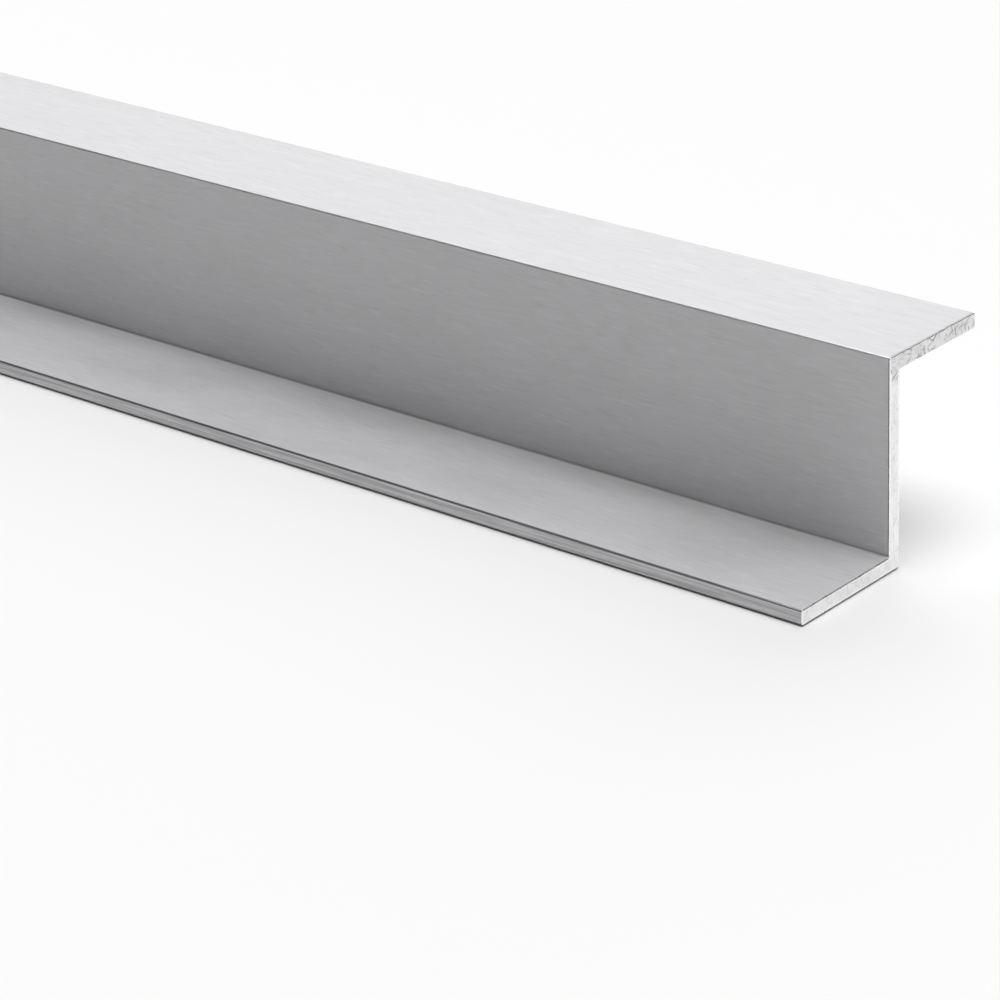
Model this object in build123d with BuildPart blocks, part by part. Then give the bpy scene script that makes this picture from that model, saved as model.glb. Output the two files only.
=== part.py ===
"""A straight length of Z-section aluminium extrusion, sawn square at both ends.

The section has an upright web with one flange at each end, turned opposite ways: the bottom flange
runs forward to -Y and the slightly narrower top flange runs back to +Y. The bar runs along X and stands
on its bottom flange, with the origin under the middle of its length and overall width.
"""
import os

from build123d import *

# Stock sizes in millimetres: cut length, outside sizes of the section and its even wall
bar_length = 1000.0
web_height = 70.0
top_flange_width = 45.0
bottom_flange_width = 50.0
wall = 5.0

# Corner radii left by the die: outer bends, inner bends and flange tips
heel_radius = 0.6
root_radius = 0.6
tip_radius = 0.6

# Break left round each sawn end by deburring
sawn_edge_break = 0.3

# Places across the section, from the bottom flange's tip to the top flange's tip
overall_width = top_flange_width + bottom_flange_width - wall
front_tip = -overall_width / 2
web_front = front_tip + bottom_flange_width - wall
web_rear = web_front + wall
rear_tip = web_front + top_flange_width

# Heights of the faces inside the two bends
bottom_flange_top = wall
top_flange_underside = web_height - wall

# Corners of the section, round from the bottom flange's tip, each with its radius
section_corners = (
    ((front_tip, 0), tip_radius),
    ((web_rear, 0), heel_radius),
    ((web_rear, top_flange_underside), root_radius),
    ((rear_tip, top_flange_underside), tip_radius),
    ((rear_tip, web_height), tip_radius),
    ((web_front, web_height), heel_radius),
    ((web_front, bottom_flange_top), root_radius),
    ((front_tip, bottom_flange_top), tip_radius),
)

with BuildPart() as z_profile:
    # Section as the die shapes it, pushed out both ways from mid-length
    with BuildSketch(Plane.YZ):
        with BuildLine():
            FilletPolyline(
                *[corner for corner, radius in section_corners],
                radius=[radius for corner, radius in section_corners],
                close=True,
            )
        make_face()
    extrude(amount=bar_length / 2, both=True)

    # Both sawn ends deburred all round
    sawn_ends = z_profile.faces().filter_by(Axis.X)
    chamfer(sawn_ends.edges(), length=sawn_edge_break)

z_profile.part.label = "z_profile"

os.makedirs("parts", exist_ok=True)
export_step(z_profile.part, "parts/z_profile.step")
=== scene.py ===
"""Dresses a sawn length of Z-section aluminium extrusion and sets it in a plain pale studio.

The bar runs along X and stands on its bottom flange. All lengths are in metres.
"""
import logging
import math
from dataclasses import dataclass
from enum import Enum, IntEnum

import bmesh
import bpy
from mathutils import Matrix, Vector, noise


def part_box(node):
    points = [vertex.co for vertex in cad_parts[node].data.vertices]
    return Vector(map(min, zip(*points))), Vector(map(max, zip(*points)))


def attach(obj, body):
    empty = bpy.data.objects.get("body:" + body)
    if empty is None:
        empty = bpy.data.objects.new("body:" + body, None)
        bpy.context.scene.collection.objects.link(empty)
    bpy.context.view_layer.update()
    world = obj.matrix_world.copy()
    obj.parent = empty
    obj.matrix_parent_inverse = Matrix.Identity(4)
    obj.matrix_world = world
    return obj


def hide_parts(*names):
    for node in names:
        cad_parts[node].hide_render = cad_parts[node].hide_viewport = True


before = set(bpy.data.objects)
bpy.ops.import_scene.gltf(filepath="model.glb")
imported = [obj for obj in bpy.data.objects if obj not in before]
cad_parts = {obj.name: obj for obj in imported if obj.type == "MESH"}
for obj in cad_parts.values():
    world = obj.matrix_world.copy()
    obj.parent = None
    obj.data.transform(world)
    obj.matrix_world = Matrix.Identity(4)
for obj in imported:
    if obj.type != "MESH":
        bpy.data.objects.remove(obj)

MM = 0.001
NODE = "z_profile"
BODY = "root"
LOG = logging.getLogger(NODE)
Colour = tuple[float, float, float]


class Skin(IntEnum):
    """Material slots of the bar."""

    LONG_FACES = 0
    SAWN_ENDS = 1
    BROKEN_EDGES = 2
    # Rounded bends, painted darker as the shade line along the edges.
    CORNERS = 3
    TIP_FACES = 4
    # Burr rings on upright faces and broken edges at the floor, painted nearly black as shade.
    BURR_LINES = 5
    # Rounded edges of the tips, painted nearly black as shade.
    TIP_CORNERS = 6
    # Burr rings on level faces, painted a lighter shade as they face the light.
    LEVEL_BURRS = 7
    BURNISHED_BANDS = 8
    # Inner roots, painted dark as the shade in the concave corner.
    ROOTS = 9


class Pattern(Enum):
    """Names of the node groups that the finishes share."""

    MARKS = "drawn_marks"
    CLOUD = "dull_cloud"
    SWEEP = "saw_sweep"


class Wiring:
    """Adds and joins the nodes of one node tree."""

    def __init__(self, tree: bpy.types.NodeTree) -> None:
        """Keeps the tree that nodes go into.

        Args:
            tree: Node tree of a material, a world or a group.
        """
        self.tree = tree

    def feed(self, socket: bpy.types.NodeSocket, value: object) -> None:
        """Gives an input its value, or joins an output to it.

        Args:
            socket: Input socket to set.
            value: Output socket to join, or a plain value.
        """
        if isinstance(value, bpy.types.NodeSocket):
            self.tree.links.new(value, socket)
        else:
            socket.default_value = value

    def add(
        self,
        kind: str,
        inputs: dict[object, object] | None = None,
        **settings: object,
    ) -> bpy.types.Node:
        """Adds one node.

        Args:
            kind: Blender's name of the node type.
            inputs: Values or outputs for its inputs, by name or number.
            settings: Properties of the node itself.

        Returns:
            The new node.
        """
        node = self.tree.nodes.new(kind)
        for name, value in settings.items():
            setattr(node, name, value)
        for name, value in (inputs or {}).items():
            self.feed(node.inputs[name], value)
        return node

    def math(self, operation: str, *values: object) -> bpy.types.NodeSocket:
        """Adds a math node.

        Args:
            operation: Name of the sum, such as MULTIPLY_ADD.
            values: Its numbers or outputs, in order.

        Returns:
            The node's value output.
        """
        return self.add("ShaderNodeMath", dict(enumerate(values)), operation=operation).outputs[0]

    def vector(self, operation: str, first: object, second: object) -> bpy.types.NodeSocket:
        """Adds a vector math node that gives a vector.

        Args:
            operation: Name of the sum, such as SUBTRACT.
            first: First vector or output.
            second: Second vector or output.

        Returns:
            The node's vector output.
        """
        return self.add("ShaderNodeVectorMath", {0: first, 1: second}, operation=operation).outputs[0]

    def tint(self, colour: Colour, shade: bpy.types.NodeSocket) -> bpy.types.NodeSocket:
        """Lightens and darkens a colour.

        Args:
            colour: The plain colour.
            shade: Factor that changes over the surface.

        Returns:
            The shaded colour.
        """
        inputs = {0: colour, "Scale": shade}
        return self.add("ShaderNodeVectorMath", inputs, operation="SCALE").outputs[0]

    def ramp(
        self,
        value: object,
        lowest: object,
        highest: object,
        start: float,
        end: float,
    ) -> bpy.types.NodeSocket:
        """Stretches a range of a value onto another range, with a soft start and end.

        Args:
            value: Number or output to stretch.
            lowest: Value that becomes start.
            highest: Value that becomes end.
            start: Result at and below lowest.
            end: Result at and above highest.

        Returns:
            The stretched output.
        """
        inputs = {"Value": value, "From Min": lowest, "From Max": highest, "To Min": start, "To Max": end}
        return self.add("ShaderNodeMapRange", inputs, interpolation_type="SMOOTHSTEP").outputs["Result"]

    def group(self, pattern: Pattern, inputs: dict[str, object]) -> bpy.types.NodeSocket:
        """Places a shared node group.

        Args:
            pattern: Which group.
            inputs: Values or outputs for its inputs, by name.

        Returns:
            The group's one output.
        """
        node = self.tree.nodes.new("ShaderNodeGroup")
        node.node_tree = bpy.data.node_groups[pattern.value]
        for name, value in inputs.items():
            self.feed(node.inputs[name], value)
        return node.outputs[0]


@dataclass(frozen=True)
class GroupDraft:
    """A node group in the making: its wiring, the outputs of its entry and the input of its exit."""

    wiring: Wiring
    entry: bpy.types.bpy_prop_collection
    leave: bpy.types.NodeSocket

    def stretched(self) -> bpy.types.NodeSocket:
        """Divides the group's coordinates by its length and width.

        Returns:
            Coordinates in which one mark or patch measures about one.
        """
        sizes = {0: self.entry["Length"], 1: self.entry["Width"], 2: self.entry["Width"]}
        size = self.wiring.add("ShaderNodeCombineXYZ", sizes).outputs[0]
        return self.wiring.vector("DIVIDE", self.entry["Vector"], size)


@dataclass(frozen=True)
class PatternShop:
    """Builds the node groups that the finishes share."""

    noise_scale: float = 1.0
    mark_detail: float = 2.0
    mark_roughness: float = 0.55
    cloud_detail: float = 3.0
    cloud_roughness: float = 0.5
    cloud_low: float = 0.3
    cloud_high: float = 0.7

    def build(self) -> None:
        """Builds every group once."""
        self.marks()
        self.cloud()
        self.sweep()

    @staticmethod
    def start(pattern: Pattern, inputs: dict[str, str], output: tuple[str, str]) -> GroupDraft:
        """Starts a shader node group with named sockets.

        Args:
            pattern: Name of the group.
            inputs: Socket type by input name.
            output: Name and socket type of the one output.

        Returns:
            The started group.
        """
        tree = bpy.data.node_groups.new(pattern.value, "ShaderNodeTree")
        for name, kind in inputs.items():
            tree.interface.new_socket(name=name, in_out="INPUT", socket_type=kind)
        name, kind = output
        tree.interface.new_socket(name=name, in_out="OUTPUT", socket_type=kind)
        wiring = Wiring(tree)
        entry = wiring.add("NodeGroupInput").outputs
        leave = wiring.add("NodeGroupOutput").inputs[name]
        return GroupDraft(wiring, entry, leave)

    def marks(self) -> None:
        """Builds thin marks, long in the first axis and narrow in the others."""
        inputs = {"Vector": "NodeSocketVector"}
        inputs |= {name: "NodeSocketFloat" for name in ("Length", "Width", "Seed", "Start", "Full")}
        draft = self.start(Pattern.MARKS, inputs, ("Mask", "NodeSocketFloat"))
        inputs = {"Vector": draft.stretched(), "W": draft.entry["Seed"], "Scale": self.noise_scale}
        inputs |= {"Detail": self.mark_detail, "Roughness": self.mark_roughness}
        texture = draft.wiring.add("ShaderNodeTexNoise", inputs, noise_dimensions="4D").outputs[0]
        mask = draft.wiring.ramp(texture, draft.entry["Start"], draft.entry["Full"], 0.0, 1.0)
        draft.wiring.feed(draft.leave, mask)

    def cloud(self) -> None:
        """Builds soft uneven patches, from minus one to one."""
        inputs = {"Vector": "NodeSocketVector", "Length": "NodeSocketFloat", "Width": "NodeSocketFloat"}
        draft = self.start(Pattern.CLOUD, inputs, ("Shade", "NodeSocketFloat"))
        inputs = {"Vector": draft.stretched(), "Scale": self.noise_scale}
        inputs |= {"Detail": self.cloud_detail, "Roughness": self.cloud_roughness}
        texture = draft.wiring.add("ShaderNodeTexNoise", inputs).outputs[0]
        shade = draft.wiring.ramp(texture, self.cloud_low, self.cloud_high, -1.0, 1.0)
        draft.wiring.feed(draft.leave, shade)

    def sweep(self) -> None:
        """Builds coordinates that run along and across the arcs of a saw blade's sweep over an end."""
        inputs = {"Vector": "NodeSocketVector", "Centre": "NodeSocketVector"}
        draft = self.start(Pattern.SWEEP, inputs, ("Vector", "NodeSocketVector"))
        wiring = draft.wiring
        arm = wiring.vector("SUBTRACT", draft.entry["Vector"], draft.entry["Centre"])
        part = wiring.add("ShaderNodeSeparateXYZ", {0: arm}).outputs
        flat = wiring.add("ShaderNodeCombineXYZ", {0: part["Y"], 1: part["Z"]}).outputs[0]
        reach = wiring.add("ShaderNodeVectorMath", {0: flat}, operation="LENGTH").outputs["Value"]
        along = wiring.math("MULTIPLY", wiring.math("ARCTAN2", part["Z"], part["Y"]), reach)
        wiring.feed(draft.leave, wiring.add("ShaderNodeCombineXYZ", {0: along, 1: reach}).outputs[0])


@dataclass(frozen=True)
class Marks:
    """One set of thin marks: their size, their seed and how much of the surface they take."""

    length: float
    width: float
    seed: float
    start: float
    full: float

    def mask(self, wiring: Wiring, place: bpy.types.NodeSocket) -> bpy.types.NodeSocket:
        """Draws the marks.

        Args:
            wiring: Wiring of the material.
            place: Coordinates whose first axis runs along the marks.

        Returns:
            The mask, one on a mark and zero beside it.
        """
        inputs = {"Vector": place, "Length": self.length, "Width": self.width}
        inputs |= {"Seed": self.seed, "Start": self.start, "Full": self.full}
        return wiring.group(Pattern.MARKS, inputs)


@dataclass(frozen=True)
class Clouds:
    """Soft uneven patches: their length along the bar and their width."""

    length: float
    width: float

    def shade(self, wiring: Wiring, place: bpy.types.NodeSocket) -> bpy.types.NodeSocket:
        """Draws the patches.

        Args:
            wiring: Wiring of the material.
            place: Coordinates whose first axis runs along the bar.

        Returns:
            The shade, from minus one to one.
        """
        return wiring.group(Pattern.CLOUD, {"Vector": place, "Length": self.length, "Width": self.width})


class Metal:
    """A bare metal material with its shader, its wiring and its own coordinates."""

    def __init__(self, name: str) -> None:
        """Starts the material.

        Args:
            name: Name of the material.
        """
        self.material = bpy.data.materials.new(name)
        self.material.use_nodes = True
        self.wiring = Wiring(self.material.node_tree)
        self.shader = self.material.node_tree.nodes["Principled BSDF"]
        self.shader.inputs["Metallic"].default_value = 1.0
        self.place = self.wiring.add("ShaderNodeTexCoord").outputs["Object"]

    def finish(
        self,
        colour: bpy.types.NodeSocket,
        roughness: bpy.types.NodeSocket,
        height: bpy.types.NodeSocket,
        depth: float,
    ) -> None:
        """Joins what changes over the surface to the shader.

        Args:
            colour: Colour of the metal.
            roughness: Its roughness.
            height: Height of its fine relief, from zero to one.
            depth: What a height of one measures.
        """
        bump = self.wiring.add("ShaderNodeBump", {"Height": height, "Distance": depth, "Strength": 1.0})
        self.wiring.feed(self.shader.inputs["Base Color"], colour)
        self.wiring.feed(self.shader.inputs["Roughness"], roughness)
        self.wiring.feed(self.shader.inputs["Normal"], bump.outputs[0])


@dataclass(frozen=True)
class MillFinish:
    """Skin of the long faces as the die leaves it, with fine lines and short dashes along the bar."""

    name: str = "mill_skin"
    skin_colour: Colour = (0.642, 0.640, 0.650)
    roughness: float = 0.74
    lines: Marks = Marks(70 * MM, 0.5 * MM, 1.7, 0.3, 0.7)
    bright_dashes: Marks = Marks(9 * MM, 0.8 * MM, 5.3, 0.5, 0.75)
    dark_dashes: Marks = Marks(9 * MM, 0.8 * MM, 9.1, 0.5, 0.75)
    clouds: Clouds = Clouds(60 * MM, 22 * MM)
    line_contrast: float = 0.035
    dash_contrast: float = 0.07
    cloud_contrast: float = 0.035
    line_roughness: float = 0.06
    cloud_roughness: float = 0.03
    line_depth: float = 0.01 * MM

    def material(self) -> bpy.types.Material:
        """Makes the material.

        Returns:
            The material.
        """
        metal = Metal(self.name)
        wiring = metal.wiring
        lines = self.lines.mask(wiring, metal.place)
        bright = self.bright_dashes.mask(wiring, metal.place)
        dark = self.dark_dashes.mask(wiring, metal.place)
        dashes = wiring.math("SUBTRACT", bright, dark)
        cloud = self.clouds.shade(wiring, metal.place)

        shade = wiring.math("MULTIPLY_ADD", lines, self.line_contrast, 1.0 - self.line_contrast / 2)
        shade = wiring.math("MULTIPLY_ADD", dashes, self.dash_contrast, shade)
        shade = wiring.math("MULTIPLY_ADD", cloud, self.cloud_contrast, shade)
        least_rough = self.roughness - self.line_roughness / 2
        rough = wiring.math("MULTIPLY_ADD", lines, self.line_roughness, least_rough)
        rough = wiring.math("MULTIPLY_ADD", cloud, self.cloud_roughness, rough)
        height = wiring.math("ADD", lines, dashes)
        metal.finish(wiring.tint(self.skin_colour, shade), rough, height, self.line_depth)
        return metal.material


@dataclass(frozen=True)
class SawStroke:
    """One sweep of the saw blade over an end: the middle of its arcs, and the marks that its teeth leave."""

    centre: tuple[float, float, float]
    marks: Marks

    def mask(self, metal: Metal) -> bpy.types.NodeSocket:
        """Draws the stroke's marks.

        Args:
            metal: Material to draw on.

        Returns:
            The mask, one on a mark and zero beside it.
        """
        swept = metal.wiring.group(Pattern.SWEEP, {"Vector": metal.place, "Centre": self.centre})
        return self.marks.mask(metal.wiring, swept)

    def polar(self, place: Vector) -> tuple[float, float]:
        """Gives a point's place along and across the stroke's arcs.

        Args:
            place: Point on an end.

        Returns:
            Distance along the arc and distance from the arcs' middle.
        """
        arm = Vector((place.y - self.centre[1], place.z - self.centre[2]))
        return math.atan2(arm.y, arm.x) * arm.length, arm.length


@dataclass(frozen=True)
class SawnFinish:
    """Bright metal of a fresh saw cut, scratched by the teeth in crossing arcs.

    The teeth bite harder high up, where the blade enters.
    """

    name: str = "sawn_metal"
    cut_colour: Colour = (0.93, 0.928, 0.932)
    cut_roughness: float = 0.5
    strokes: tuple[SawStroke, ...] = (
        SawStroke((0.0, 0.11, -0.09), Marks(6 * MM, 0.8 * MM, 2.0, 0.54, 0.68)),
        SawStroke((0.0, -0.16, 0.02), Marks(5 * MM, 0.9 * MM, 5.0, 0.55, 0.69)),
        SawStroke((0.0, 0.03, 0.21), Marks(4 * MM, 0.7 * MM, 8.0, 0.58, 0.70)),
    )
    clouds: Clouds = Clouds(9 * MM, 9 * MM)
    mark_contrast: float = 0.28
    cloud_contrast: float = 0.04
    mark_roughness: float = 0.12
    mark_depth: float = 0.04 * MM
    bite_start: float = 58 * MM
    bite_full: float = 66 * MM
    light_bite: float = 0.55
    heavy_bite: float = 1.7
    entry_dulling: float = 0.11

    def material(self) -> bpy.types.Material:
        """Makes the material.

        Returns:
            The material.
        """
        metal = Metal(self.name)
        wiring = metal.wiring
        scratches = 0.0
        for stroke in self.strokes:
            scratches = wiring.math("MAXIMUM", stroke.mask(metal), scratches)
        up = wiring.add("ShaderNodeSeparateXYZ", {0: metal.place}).outputs["Z"]
        entry = wiring.ramp(up, self.bite_start, self.bite_full, 0.0, 1.0)
        bite = wiring.math("MULTIPLY_ADD", entry, self.heavy_bite - self.light_bite, self.light_bite)
        scratches = wiring.math("MULTIPLY", scratches, bite)
        cloud = self.clouds.shade(wiring, metal.place)
        shade = wiring.math("MULTIPLY_ADD", scratches, -self.mark_contrast, 1.0)
        shade = wiring.math("MULTIPLY_ADD", entry, -self.entry_dulling, shade)
        shade = wiring.math("MULTIPLY_ADD", cloud, self.cloud_contrast, shade)
        rough = wiring.math("MULTIPLY_ADD", scratches, self.mark_roughness, self.cut_roughness)
        height = wiring.math("SUBTRACT", 1.0, scratches)
        metal.finish(wiring.tint(self.cut_colour, shade), rough, height, self.mark_depth)
        return metal.material


@dataclass(frozen=True)
class EdgeFinish:
    """Metal of a narrow edge, with small nicks along it."""

    name: str
    edge_colour: Colour
    edge_roughness: float
    nicks: Marks
    clouds: Clouds = Clouds(3 * MM, 3 * MM)
    nick_contrast: float = 0.15
    cloud_roughness: float = 0.05
    nick_depth: float = 0.02 * MM

    def material(self) -> bpy.types.Material:
        """Makes the material.

        Returns:
            The material.
        """
        metal = Metal(self.name)
        wiring = metal.wiring
        nicks = self.nicks.mask(wiring, metal.place)
        cloud = self.clouds.shade(wiring, metal.place)
        shade = wiring.math("MULTIPLY_ADD", nicks, -self.nick_contrast, 1.0)
        rough = wiring.math("MULTIPLY_ADD", cloud, self.cloud_roughness, self.edge_roughness)
        height = wiring.math("SUBTRACT", 1.0, nicks)
        metal.finish(wiring.tint(self.edge_colour, shade), rough, height, self.nick_depth)
        return metal.material


@dataclass(frozen=True)
class Ripple:
    """Uneven relief that is long one way and narrow the other, the same on every run."""

    length: float
    width: float
    depth: float
    seed: float
    middle: float = 0.5

    def at(self, along: float, across: float) -> float:
        """Gives the relief at a place.

        Args:
            along: Distance along the ripple.
            across: Distance across it.

        Returns:
            Depth, from zero to the ripple's depth.
        """
        wave = noise.noise(Vector((along / self.length, across / self.width, self.seed)))
        return self.depth * min(1.0, max(0.0, self.middle + wave))


@dataclass
class ZBar:
    """The bar: a Z section pushed out along X and sawn square at both ends."""

    low: Vector
    high: Vector
    bottom_flange: float = 50 * MM
    wall: float = 5 * MM
    corner_radius: float = 0.6 * MM
    corner_steps: int = 6
    edge_break: float = 0.3 * MM
    break_steps: int = 2
    burr_width: float = 0.4 * MM
    burr_depth: float = 0.08 * MM
    ring_middle: float = 0.5
    ring_end: float = 1.0
    strip_width: float = 0.5 * MM
    tip_strip_width: float = 0.15 * MM
    corner_lean: float = 0.05
    lengths: int = 24
    saw_pitch: float = 0.4 * MM
    cut_tolerance: float = 0.02 * MM
    band_width: float = 0.7 * MM
    broad_lines: Ripple = Ripple(900 * MM, 4 * MM, 0.012 * MM, 3.1)
    fine_lines: Ripple = Ripple(300 * MM, 1.1 * MM, 0.008 * MM, 8.4)
    tip_lines: Ripple = Ripple(250 * MM, 0.7 * MM, 0.08 * MM, 1.6)
    saw_marks: Ripple = Ripple(10 * MM, 1.2 * MM, 0.03 * MM, 6.7)
    rim_wander: Ripple = Ripple(1.5 * MM, 1.5 * MM, 0.06 * MM, 2.3)
    skin: MillFinish = MillFinish()
    tip: MillFinish = MillFinish(
        name="tip_skin",
        lines=Marks(45 * MM, 0.6 * MM, 2.6, 0.4, 0.6),
        line_contrast=0.3,
        line_depth=0.03 * MM,
    )
    cut: SawnFinish = SawnFinish()
    rim: EdgeFinish = EdgeFinish(
        name="burnished_rim",
        edge_colour=(0.95, 0.948, 0.952),
        edge_roughness=0.3,
        nicks=Marks(1.5 * MM, 0.8 * MM, 4.0, 0.5, 0.7),
    )
    # Painted shade: the rounded bends are painted darker than the skin, for the dark line that each long
    # edge shows in reflection.
    corner: EdgeFinish = EdgeFinish(
        name="corner_painted_shade",
        edge_colour=(0.59, 0.588, 0.595),
        edge_roughness=0.5,
        nicks=Marks(25 * MM, 0.4 * MM, 3.0, 0.5, 0.7),
    )
    # Painted shade: the inner roots are painted much darker than the skin, for the shade that falls in the
    # concave corner.
    root: EdgeFinish = EdgeFinish(
        name="root_painted_shade",
        edge_colour=(0.44, 0.438, 0.445),
        edge_roughness=0.65,
        nicks=Marks(25 * MM, 0.4 * MM, 9.0, 0.5, 0.7),
    )
    # Painted shade: the tips' rounded edges are painted nearly black, for the dark line along the top of
    # each tip and the contact shadow at its foot.
    tip_edge_painted_shade: EdgeFinish = EdgeFinish(
        name="tip_line",
        edge_colour=(0.24, 0.238, 0.243),
        edge_roughness=0.45,
        nicks=Marks(25 * MM, 0.4 * MM, 6.0, 0.5, 0.7),
    )
    # Painted shade: the ring beside each sawn end, and the broken edge at the floor, are painted nearly
    # black, for the burr's shade line and the contact shadow under the end; the ring's shallow groove is
    # real.
    burr: EdgeFinish = EdgeFinish(
        name="burr_and_painted_shade_line",
        edge_colour=(0.26, 0.258, 0.262),
        edge_roughness=0.8,
        nicks=Marks(1.2 * MM, 1.2 * MM, 7.0, 0.45, 0.6),
    )
    # Painted shade, lit copy: the same ring on level faces is painted a lighter grey than on upright faces,
    # as level faces catch more light from above.
    level_burr_painted_shade: EdgeFinish = EdgeFinish(
        name="level_burr_painted_shade",
        edge_colour=(0.46, 0.458, 0.462),
        edge_roughness=0.8,
        nicks=Marks(1.2 * MM, 1.2 * MM, 8.0, 0.45, 0.6),
    )
    band: EdgeFinish = EdgeFinish(
        name="burnished_band",
        edge_colour=(0.97, 0.968, 0.972),
        edge_roughness=0.3,
        nicks=Marks(1.5 * MM, 0.8 * MM, 5.0, 0.55, 0.7),
    )

    def corners(self) -> list[Vector]:
        """Gives the section's corners at the left end, round from the bottom flange's tip.

        Returns:
            The eight sharp corners.
        """
        front = self.low.y
        rear = self.high.y
        web_rear = front + self.bottom_flange
        web_front = web_rear - self.wall
        floor = self.low.z
        top = self.high.z
        places = (
            (front, floor),
            (web_rear, floor),
            (web_rear, top - self.wall),
            (rear, top - self.wall),
            (rear, top),
            (web_front, top),
            (web_front, floor + self.wall),
            (front, floor + self.wall),
        )
        return [Vector((self.low.x, across, height)) for across, height in places]

    def draw_section(self, mesh: bmesh.types.BMesh) -> None:
        """Draws the rounded section as one face, its straight sides divided into narrow strips.

        Args:
            mesh: Mesh to draw in.
        """
        points = [mesh.verts.new(corner) for corner in self.corners()]
        mesh.faces.new(points)
        bmesh.ops.bevel(
            mesh,
            geom=points,
            offset=self.corner_radius,
            offset_type="OFFSET",
            segments=self.corner_steps,
            profile=0.5,
            affect="VERTICES",
            material=-1,
        )
        for side in list(mesh.edges):
            length = side.calc_length()
            strip = self.tip_strip_width if length < self.wall else self.strip_width
            cuts = round(length / strip) - 1
            if length > self.corner_radius and cuts > 0:
                bmesh.ops.subdivide_edges(mesh, edges=[side], cuts=cuts)

    def push_out(self, mesh: bmesh.types.BMesh) -> None:
        """Pushes the section out to the bar's length and divides it lengthwise.

        Args:
            mesh: Mesh that holds the section.
        """
        pushed = bmesh.ops.extrude_face_region(mesh, geom=list(mesh.faces))
        moved = [part for part in pushed["geom"] if isinstance(part, bmesh.types.BMVert)]
        bmesh.ops.translate(mesh, verts=moved, vec=(self.high.x - self.low.x, 0, 0))
        bmesh.ops.recalc_face_normals(mesh, faces=list(mesh.faces))
        runs = [edge for edge in mesh.edges if abs(edge.verts[0].co.x - edge.verts[1].co.x) > self.wall]
        bmesh.ops.subdivide_edges(mesh, edges=runs, cuts=self.lengths - 1, use_grid_fill=True)

    def end_faces(self, mesh: bmesh.types.BMesh) -> list[bmesh.types.BMFace]:
        """Finds the flat faces of the two ends.

        Args:
            mesh: Mesh of the bar, before its ends are divided.

        Returns:
            The faces whose corners are all at one end.
        """
        found = []
        for face in mesh.faces:
            places = [vert.co.x for vert in face.verts]
            if max(places) - min(places) < self.cut_tolerance and len(places) > len(self.corners()):
                found.append(face)
        return found

    def tip_gap(self, place: Vector) -> float:
        """Measures how far a point is from the nearer flange tip.

        Args:
            place: Point of the plain section.

        Returns:
            Level distance to the tip's flat face.
        """
        return min(place.y - self.low.y, self.high.y - place.y)

    def sort_sides(self, mesh: bmesh.types.BMesh) -> None:
        """Gives the rounded corners and the two flange tips their own skins.

        Args:
            mesh: Mesh of the bar, before its ends are broken.
        """
        for face in mesh.faces:
            normal = face.normal
            place = face.calc_center_median()
            if min(abs(normal.y), abs(normal.z)) > self.corner_lean:
                face.material_index = self.corner_skin(place)
            elif self.tip_gap(place) < self.cut_tolerance:
                face.material_index = Skin.TIP_FACES

    def corner_skin(self, place: Vector) -> Skin:
        """Chooses the skin of a rounded corner.

        Args:
            place: Point on the corner.

        Returns:
            The skin of a tip's corner, of an inner root or of any other corner, each painted darker than the
            skin as shade.
        """
        if self.tip_gap(place) < self.corner_radius:
            return Skin.TIP_CORNERS
        if self.low.z + self.wall < place.z < self.high.z - self.wall:
            return Skin.ROOTS
        return Skin.CORNERS

    def cut_burr_rings_and_paint_shade(self, mesh: bmesh.types.BMesh) -> None:
        """Cuts a narrow ring into the long faces beside each broken edge, and gives it its own skins:
        painted dark as the burr's shade line, and a lighter painted grey on level faces, where more light
        falls.

        On top of the bottom flange, at the roots and on the tips the ring keeps the skin it has.

        Args:
            mesh: Mesh of the bar, with its ends broken.
        """
        for side in (-1, 1):
            for share in (self.ring_end, self.ring_middle):
                bmesh.ops.bisect_plane(
                    mesh,
                    geom=[*mesh.verts, *mesh.edges, *mesh.faces],
                    dist=self.cut_tolerance,
                    plane_co=Vector((side * self.burr_and_painted_shade_line(share), 0, 0)),
                    plane_no=Vector((side, 0, 0)),
                )
        marked = (Skin.LONG_FACES, Skin.CORNERS, Skin.TIP_CORNERS)
        for face in mesh.faces:
            place = face.calc_center_median()
            level = face.normal.z > self.corner_lean
            on_seat = level and place.z < self.high.z - self.wall
            beside_end = abs(place.x) > self.burr_and_painted_shade_line(self.ring_end)
            # Upright faces take the dark painted shade, level faces its lighter painted copy.
            if beside_end and not on_seat and face.material_index in marked:
                face.material_index = Skin.LEVEL_BURRS if level else Skin.BURR_LINES

    def burr_and_painted_shade_line(self, share: float) -> float:
        """Gives the place of a line in the burr ring.

        Args:
            share: Share of the ring's width, counted from the broken edge.

        Returns:
            Distance from the middle of the bar.
        """
        return self.high.x - self.edge_break - share * self.burr_width

    def break_edges(self, mesh: bmesh.types.BMesh) -> None:
        """Breaks the edges round both sawn ends, and gives them their own skin, or at the floor the dark
        skin that paints the contact shadow.

        Args:
            mesh: Mesh of the bar.
        """
        rims = [edge for face in self.end_faces(mesh) for edge in face.edges]
        broken = bmesh.ops.bevel(
            mesh,
            geom=rims,
            offset=self.edge_break,
            offset_type="OFFSET",
            segments=self.break_steps,
            profile=0.5,
            affect="EDGES",
            material=-1,
            clamp_overlap=False,
        )
        for face in broken["faces"]:
            # At the floor the broken edge takes the dark skin, which paints the contact shadow.
            at_floor = face.calc_center_median().z < self.low.z + self.edge_break
            face.material_index = Skin.BURR_LINES if at_floor else Skin.BROKEN_EDGES

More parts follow.
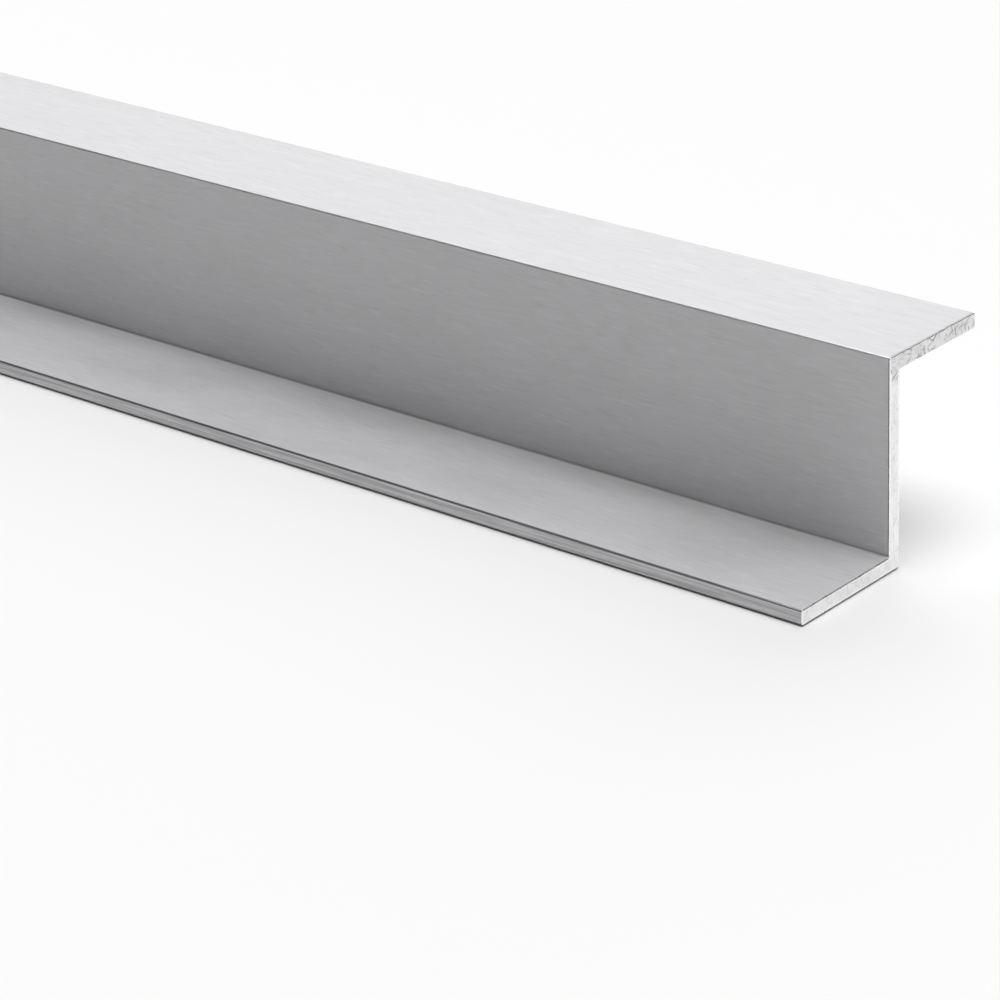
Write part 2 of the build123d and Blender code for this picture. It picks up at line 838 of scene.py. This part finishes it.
    def saw_ends(self, mesh: bmesh.types.BMesh) -> None:
        """Divides both sawn ends finely enough to carry saw marks, and gives them their own skin.

        Args:
            mesh: Mesh of the bar.
        """
        faces = self.end_faces(mesh)
        for face in faces:
            face.material_index = Skin.SAWN_ENDS
        edges = [edge for face in faces for edge in face.edges]
        verts = [vert for face in faces for vert in face.verts]
        cut = [*verts, *edges, *faces]
        for axis in (Vector((0, 1, 0)), Vector((0, 0, 1))):
            start = self.low.dot(axis)
            reach = self.high.dot(axis) - start
            count = round(reach / self.saw_pitch)
            for step in range(1, count):
                place = axis * (start + reach * step / count)
                done = bmesh.ops.bisect_plane(
                    mesh, geom=cut, dist=self.cut_tolerance, plane_co=place, plane_no=axis
                )
                cut = done["geom"]

    def long_depth(self, place: Vector) -> float:
        """Works out how deep the drawn lines are at a point of the long faces.

        Args:
            place: Point of the plain section.

        Returns:
            Depth below the plain section.
        """
        across = place.y + place.z
        depth = self.broad_lines.at(place.x, across) + self.fine_lines.at(place.x, across)
        if self.tip_gap(place) < self.cut_tolerance:
            depth += self.tip_lines.at(place.x, across)
        if abs(abs(place.x) - self.burr_and_painted_shade_line(self.ring_middle)) < self.cut_tolerance:
            depth += self.burr_depth
        return depth

    def end_depth(self, place: Vector) -> float:
        """Works out how deep the saw marks are at a point of an end.

        Args:
            place: Point of the plain end.

        Returns:
            Depth below the plain end.
        """
        return sum(self.saw_marks.at(*stroke.polar(place)) for stroke in self.cut.strokes)

    def press_relief(self, mesh: bmesh.types.BMesh) -> None:
        """Presses drawn lines into the long faces and saw marks into the ends, and makes the rims wander.

        Args:
            mesh: Mesh of the bar.
        """
        moves = {}
        for vert in mesh.verts:
            skins = {face.material_index for face in vert.link_faces}
            place = vert.co.copy()
            inward = Vector((-math.copysign(1.0, place.x), 0, 0))
            if Skin.SAWN_ENDS in skins:
                moves[vert] = inward * self.end_depth(place)
            elif Skin.BROKEN_EDGES in skins and skins - {Skin.BROKEN_EDGES}:
                moves[vert] = inward * self.rim_wander.at(place.y, place.z)
            elif Skin.BROKEN_EDGES not in skins:
                moves[vert] = -vert.normal * self.long_depth(place)
        for vert, move in moves.items():
            vert.co += move

    @staticmethod
    def shade(mesh: bmesh.types.BMesh) -> None:
        """Shades the faces smooth, with a crisp line on both sides of each broken edge.

        Args:
            mesh: Mesh of the bar.
        """
        for face in mesh.faces:
            face.smooth = True
        for edge in mesh.edges:
            skins = {face.material_index for face in edge.link_faces}
            edge.smooth = len(skins) == 1 or not skins & {Skin.SAWN_ENDS, Skin.BROKEN_EDGES}

    def inset(self, place: Vector) -> float:
        """Measures how far inside the section a point of an end lies.

        Args:
            place: Point on an end.

        Returns:
            Distance to the nearest side of the section.
        """
        corners = self.corners()
        point = Vector((self.low.x, place.y, place.z))
        gaps = []
        for start, end in zip(corners, [*corners[1:], corners[0]]):
            along = end - start
            share = (point - start).dot(along) / along.length_squared
            nearest = start + along * min(1.0, max(0.0, share))
            gaps.append((point - nearest).length)
        return min(gaps)

    def burnish(self, mesh: bmesh.types.BMesh) -> None:
        """Gives a narrow band along the outline of each sawn end the skin that deburring leaves.

        The end of the top flange, where the blade enters, keeps its heavier saw marks right to the edge.

        Args:
            mesh: Mesh of the bar, with its saw marks.
        """
        for face in mesh.faces:
            if face.material_index != Skin.SAWN_ENDS:
                continue
            place = face.calc_center_median()
            if place.z < self.high.z - self.wall and self.inset(place) < self.band_width:
                face.material_index = Skin.BURNISHED_BANDS

    def build(self) -> bpy.types.Object:
        """Builds the bar's mesh.

        Returns:
            The bar's object, at the origin.
        """
        mesh = bmesh.new()
        self.draw_section(mesh)
        self.push_out(mesh)
        self.sort_sides(mesh)
        self.break_edges(mesh)
        self.cut_burr_rings_and_paint_shade(mesh)
        self.saw_ends(mesh)
        mesh.normal_update()
        self.press_relief(mesh)
        mesh.normal_update()
        self.shade(mesh)
        self.burnish(mesh)
        data = bpy.data.meshes.new("z_bar")
        mesh.to_mesh(data)
        mesh.free()
        piece = bpy.data.objects.new("z_bar", data)
        bpy.context.scene.collection.objects.link(piece)
        return piece

    def finishes(self) -> dict[Skin, MillFinish | SawnFinish | EdgeFinish]:
        """Gives each skin its finish.

        Returns:
            The finish by skin.
        """
        return {
            Skin.LONG_FACES: self.skin,
            Skin.SAWN_ENDS: self.cut,
            Skin.BROKEN_EDGES: self.rim,
            Skin.CORNERS: self.corner,
            Skin.TIP_FACES: self.tip,
            Skin.BURR_LINES: self.burr,
            Skin.TIP_CORNERS: self.tip_edge_painted_shade,
            Skin.LEVEL_BURRS: self.level_burr_painted_shade,
            Skin.BURNISHED_BANDS: self.band,
            Skin.ROOTS: self.root,
        }

    def dress(self, piece: bpy.types.Object) -> None:
        """Gives the bar its finishes and joins it to the frame.

        Args:
            piece: The bar's object.
        """
        finishes = self.finishes()
        for skin in Skin:
            piece.data.materials.append(finishes[skin].material())
        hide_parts(NODE)
        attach(piece, BODY)


@dataclass(frozen=True)
class Viewpoint:
    """Where the camera stands, what it looks at and how it is turned."""

    right_end: float
    beyond_end: float = 600.8 * MM
    in_front: float = 874.1 * MM
    height: float = 502.2 * MM
    aim_short_of_end: float = 131.3 * MM
    aim_in_front: float = 26.7 * MM
    roll_degrees: float = -2.33
    lens: float = 138.96
    sensor: float = 36.0

    def build(self) -> bpy.types.Object:
        """Makes the camera and hands it to the scene.

        Returns:
            The camera's object.
        """
        stand = Vector((self.right_end + self.beyond_end, -self.in_front, self.height))
        aim = Vector((self.right_end - self.aim_short_of_end, -self.aim_in_front, 0))
        data = bpy.data.cameras.new("view")
        data.lens = self.lens
        data.sensor_width = self.sensor
        camera = bpy.data.objects.new("view", data)
        turn = (aim - stand).to_track_quat("-Z", "Y").to_matrix().to_4x4()
        roll = Matrix.Rotation(math.radians(self.roll_degrees), 4, "Z")
        camera.matrix_world = Matrix.Translation(stand) @ turn @ roll
        bpy.context.scene.collection.objects.link(camera)
        bpy.context.scene.camera = camera
        return camera


@dataclass(frozen=True)
class SoftPanel:
    """One broad soft panel of the studio's light, far away from the bar."""

    toward: tuple[float, float, float]
    full_degrees: float
    end_degrees: float
    level: float

    def shine(self, wiring: Wiring, way: bpy.types.NodeSocket) -> bpy.types.NodeSocket:
        """Adds the panel to the world's nodes.

        Args:
            wiring: The world's wiring.
            way: Direction that is looked up in the world.

        Returns:
            The panel's level in that direction.
        """
        inputs = {0: way, 1: Vector(self.toward).normalized()}
        facing = wiring.add("ShaderNodeVectorMath", inputs, operation="DOT_PRODUCT").outputs["Value"]
        edge = math.cos(math.radians(self.end_degrees))
        core = math.cos(math.radians(self.full_degrees))
        return wiring.ramp(facing, edge, core, 0.0, self.level)


@dataclass(frozen=True)
class Studio:
    """Pale floor under soft light that comes from above and behind the bar."""

    floor_half: float = 20.0
    floor_drop: float = 0.35 * MM
    floor_colour: Colour = (0.805, 0.805, 0.805)
    floor_roughness: float = 0.9
    floor_gloss: float = 0.0
    light_colour: Colour = (1.0, 1.0, 1.0)
    overhead: SoftPanel = SoftPanel((0.1, -0.03, 1.0), 5.0, 30.0, 6.5)
    behind: SoftPanel = SoftPanel((-0.50, 0.75, 0.50), 15.0, 40.0, 2.2)
    beside: SoftPanel = SoftPanel((1.0, -0.1, 0.4), 15.0, 45.0, 0.6)
    dim_level: float = 0.03

    def build(self) -> bpy.types.Object:
        """Hangs the light and lays the floor.

        Returns:
            The floor's object.
        """
        self.hang_light()
        return self.lay_floor()

    def lay_floor(self) -> bpy.types.Object:
        """Lays the pale floor.

        Returns:
            The floor's object.
        """
        mesh = bmesh.new()
        sunk = Matrix.Translation((0, 0, -self.floor_drop))
        bmesh.ops.create_grid(mesh, x_segments=1, y_segments=1, size=self.floor_half, matrix=sunk)
        data = bpy.data.meshes.new("floor")
        mesh.to_mesh(data)
        mesh.free()
        floor = bpy.data.objects.new("floor", data)
        bpy.context.scene.collection.objects.link(floor)
        paper = bpy.data.materials.new("floor_paper")
        paper.use_nodes = True
        shader = paper.node_tree.nodes["Principled BSDF"]
        shader.inputs["Base Color"].default_value = (*self.floor_colour, 1.0)
        shader.inputs["Roughness"].default_value = self.floor_roughness
        shader.inputs["Specular IOR Level"].default_value = self.floor_gloss
        data.materials.append(paper)
        return floor

    def hang_light(self) -> None:
        """Makes the world dim, with broad soft panels in it."""
        world = bpy.data.worlds.new("soft_light")
        bpy.context.scene.world = world
        world.use_nodes = True
        wiring = Wiring(world.node_tree)
        background = world.node_tree.nodes["Background"]
        way = wiring.add("ShaderNodeTexCoord").outputs["Generated"]
        level = self.dim_level
        for panel in (self.overhead, self.behind, self.beside):
            level = wiring.math("ADD", panel.shine(wiring, way), level)
        wiring.feed(background.inputs["Strength"], level)
        background.inputs["Color"].default_value = (*self.light_colour, 1.0)


def main() -> None:
    """Builds the bar, the studio and the camera."""
    logging.basicConfig(level=logging.INFO, format="%(message)s")
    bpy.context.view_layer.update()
    low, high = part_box(NODE)
    PatternShop().build()
    bar = ZBar(low, high)
    piece = bar.build()
    bar.dress(piece)
    LOG.info("%s: %d faces, %d finishes", piece.name, len(piece.data.polygons), len(piece.data.materials))
    floor = Studio().build()
    LOG.info("%s: laid under the bar", floor.name)
    camera = Viewpoint(right_end=high.x).build()
    LOG.info("%s: lens %.1f mm", camera.name, camera.data.lens)
    bpy.context.scene.view_settings.view_transform = "Standard"


if __name__ == "__main__":
    main()
